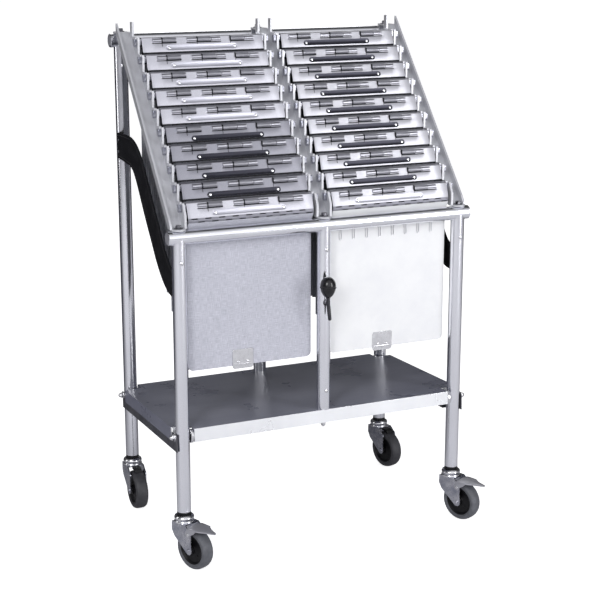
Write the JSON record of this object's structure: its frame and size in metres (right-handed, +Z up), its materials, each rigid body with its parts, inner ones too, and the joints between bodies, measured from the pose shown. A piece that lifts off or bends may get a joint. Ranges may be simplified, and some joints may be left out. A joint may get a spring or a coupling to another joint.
{
  "type": "chart binder cart",
  "caption": "Tube-framed cart on swivel casters with two sloping columns of hanging ring binders on stepped rails, a lower tray shelf and side straps.",
  "frame": {"origin": "on the floor, at the centre of the bounding box's footprint", "axes": "+Z up; +X to the right as seen from the front, along the two cross tubes; +Y to the rear, from the low end of the rails to the high end"},
  "size_m": [0.6092, 0.4052, 0.953],
  "materials": {
    "frame_tube": "satin anodised tube",
    "rail": "satin sheet, bright sheared edges",
    "shelf": "semi-gloss slate grey enamel",
    "shelf_runner": "dark grey steel angle",
    "webbing": "black woven webbing",
    "hook_rod": "blackened steel rod",
    "hook_knob": "glossy black moulded knob",
    "caster_socket": "black moulded expander",
    "caster_fork": "bright zinc plate",
    "caster_hub": "black moulded wheel centre",
    "tyre": "grey non-marking rubber",
    "brake_pedal": "zinc plated pressing",
    "binder": null,
    "left_cover": "grey linen-textured board",
    "right_cover": "smooth white board",
    "cover_clip": "bright stamped clip"
  },
  "bodies": {
    "root": {"front_cross_tube": "frame_tube", "rear_cross_tube": "frame_tube", "front_left_upright": "frame_tube", "front_middle_upright": "frame_tube", "front_right_upright": "frame_tube", "rear_left_upright": "frame_tube", "rear_middle_upright": "frame_tube", "rear_right_upright": "frame_tube", "left_rail": "rail", "middle_rail": "rail", "right_rail": "rail", "lower_shelf": "shelf", "shelf_runner_left": "shelf_runner", "shelf_runner_right": "shelf_runner", "side_strap_left": "webbing", "side_strap_right": "webbing", "hook_rod": "hook_rod", "hook_knob": "hook_knob", "front_left_caster_socket": "caster_socket", "front_right_caster_socket": "caster_socket", "rear_left_caster_socket": "caster_socket", "rear_right_caster_socket": "caster_socket"},
    "front_left_caster": {"front_left_caster_fork": "caster_fork"},
    "front_left_wheel": {"front_left_caster_hub": "caster_hub", "front_left_caster_tyre": "tyre"},
    "front_left_pedal": {"front_left_brake_pedal": "brake_pedal"},
    "front_right_caster": {"front_right_caster_fork": "caster_fork"},
    "front_right_wheel": {"front_right_caster_hub": "caster_hub", "front_right_caster_tyre": "tyre"},
    "front_right_pedal": {"front_right_brake_pedal": "brake_pedal"},
    "rear_left_caster": {"rear_left_caster_fork": "caster_fork"},
    "rear_left_wheel": {"rear_left_caster_hub": "caster_hub", "rear_left_caster_tyre": "tyre"},
    "rear_right_caster": {"rear_right_caster_fork": "caster_fork"},
    "rear_right_wheel": {"rear_right_caster_hub": "caster_hub", "rear_right_caster_tyre": "tyre"},
    "left_binder_01": {"left_binder_01": "binder"},
    "left_binder_02": {"left_binder_02": "binder"},
    "left_binder_03": {"left_binder_03": "binder"},
    "left_binder_04": {"left_binder_04": "binder"},
    "left_binder_05": {"left_binder_05": "binder"},
    "left_binder_06": {"left_binder_06": "binder"},
    "left_binder_07": {"left_binder_07": "binder"},
    "left_binder_08": {"left_binder_08": "binder"},
    "left_binder_09": {"left_binder_09": "binder"},
    "left_binder_10": {"left_binder_10": "binder", "left_front_cover": "left_cover", "left_cover_clip": "cover_clip"},
    "right_binder_01": {"right_binder_01": "binder"},
    "right_binder_02": {"right_binder_02": "binder"},
    "right_binder_03": {"right_binder_03": "binder"},
    "right_binder_04": {"right_binder_04": "binder"},
    "right_binder_05": {"right_binder_05": "binder"},
    "right_binder_06": {"right_binder_06": "binder"},
    "right_binder_07": {"right_binder_07": "binder"},
    "right_binder_08": {"right_binder_08": "binder"},
    "right_binder_09": {"right_binder_09": "binder"},
    "right_binder_10": {"right_binder_10": "binder", "right_front_cover": "right_cover", "right_cover_clip": "cover_clip"}
  },
  "joints": [
    {"name": "front_left_swivel", "type": "hinge", "parent": "root", "child": "front_left_caster", "pos_m": [-0.28289, -0.12612, 0.09], "axis": [0, 0, 1], "continuous": true},
    {"name": "front_left_roll", "type": "hinge", "parent": "front_left_caster", "child": "front_left_wheel", "pos_m": [-0.27195, -0.15189, 0.038], "axis": [0.9205, 0.3907, 0], "continuous": true},
    {"name": "front_left_brake", "type": "hinge", "parent": "front_left_caster", "child": "front_left_pedal", "pos_m": [-0.27156, -0.15282, 0.069], "axis": [0.9205, 0.3907, 0], "range_deg": [0, 10]},
    {"name": "front_right_swivel", "type": "hinge", "parent": "root", "child": "front_right_caster", "pos_m": [0.26711, -0.12612, 0.09], "axis": [0, 0, 1], "continuous": true},
    {"name": "front_right_roll", "type": "hinge", "parent": "front_right_caster", "child": "front_right_wheel", "pos_m": [0.27805, -0.15189, 0.038], "axis": [0.9205, 0.3907, 0], "continuous": true},
    {"name": "front_right_brake", "type": "hinge", "parent": "front_right_caster", "child": "front_right_pedal", "pos_m": [0.27844, -0.15282, 0.069], "axis": [0.9205, 0.3907, 0], "range_deg": [0, 10]},
    {"name": "rear_left_swivel", "type": "hinge", "parent": "root", "child": "rear_left_caster", "pos_m": [-0.28289, 0.18388, 0.09], "axis": [0, 0, 1], "continuous": true},
    {"name": "rear_left_roll", "type": "hinge", "parent": "rear_left_caster", "child": "rear_left_wheel", "pos_m": [-0.28289, 0.15588, 0.038], "axis": [1, 0, 0], "continuous": true},
    {"name": "rear_right_swivel", "type": "hinge", "parent": "root", "child": "rear_right_caster", "pos_m": [0.26711, 0.18388, 0.09], "axis": [0, 0, 1], "continuous": true},
    {"name": "rear_right_roll", "type": "hinge", "parent": "rear_right_caster", "child": "rear_right_wheel", "pos_m": [0.27293, 0.15649, 0.038], "axis": [0.9781, 0.2079, 0], "continuous": true},
    {"name": "left_binder_01_lift", "type": "slide", "parent": "root", "child": "left_binder_01", "axis": [0, 0, 1], "range_m": [0, 0.3]},
    {"name": "left_binder_02_lift", "type": "slide", "parent": "root", "child": "left_binder_02", "axis": [0, 0, 1], "range_m": [0, 0.3]},
    {"name": "left_binder_03_lift", "type": "slide", "parent": "root", "child": "left_binder_03", "axis": [0, 0, 1], "range_m": [0, 0.3]},
    {"name": "left_binder_04_lift", "type": "slide", "parent": "root", "child": "left_binder_04", "axis": [0, 0, 1], "range_m": [0, 0.3]},
    {"name": "left_binder_05_lift", "type": "slide", "parent": "root", "child": "left_binder_05", "axis": [0, 0, 1], "range_m": [0, 0.3]},
    {"name": "left_binder_06_lift", "type": "slide", "parent": "root", "child": "left_binder_06", "axis": [0, 0, 1], "range_m": [0, 0.3]},
    {"name": "left_binder_07_lift", "type": "slide", "parent": "root", "child": "left_binder_07", "axis": [0, 0, 1], "range_m": [0, 0.3]},
    {"name": "left_binder_08_lift", "type": "slide", "parent": "root", "child": "left_binder_08", "axis": [0, 0, 1], "range_m": [0, 0.3]},
    {"name": "left_binder_09_lift", "type": "slide", "parent": "root", "child": "left_binder_09", "axis": [0, 0, 1], "range_m": [0, 0.3]},
    {"name": "left_binder_10_lift", "type": "slide", "parent": "root", "child": "left_binder_10", "axis": [0, 0, 1], "range_m": [0, 0.3]},
    {"name": "right_binder_01_lift", "type": "slide", "parent": "root", "child": "right_binder_01", "axis": [0, 0, 1], "range_m": [0, 0.3]},
    {"name": "right_binder_02_lift", "type": "slide", "parent": "root", "child": "right_binder_02", "axis": [0, 0, 1], "range_m": [0, 0.3]},
    {"name": "right_binder_03_lift", "type": "slide", "parent": "root", "child": "right_binder_03", "axis": [0, 0, 1], "range_m": [0, 0.3]},
    {"name": "right_binder_04_lift", "type": "slide", "parent": "root", "child": "right_binder_04", "axis": [0, 0, 1], "range_m": [0, 0.3]},
    {"name": "right_binder_05_lift", "type": "slide", "parent": "root", "child": "right_binder_05", "axis": [0, 0, 1], "range_m": [0, 0.3]},
    {"name": "right_binder_06_lift", "type": "slide", "parent": "root", "child": "right_binder_06", "axis": [0, 0, 1], "range_m": [0, 0.3]},
    {"name": "right_binder_07_lift", "type": "slide", "parent": "root", "child": "right_binder_07", "axis": [0, 0, 1], "range_m": [0, 0.3]},
    {"name": "right_binder_08_lift", "type": "slide", "parent": "root", "child": "right_binder_08", "axis": [0, 0, 1], "range_m": [0, 0.3]},
    {"name": "right_binder_09_lift", "type": "slide", "parent": "root", "child": "right_binder_09", "axis": [0, 0, 1], "range_m": [0, 0.3]},
    {"name": "right_binder_10_lift", "type": "slide", "parent": "root", "child": "right_binder_10", "axis": [0, 0, 1], "range_m": [0, 0.3]}
  ]
}
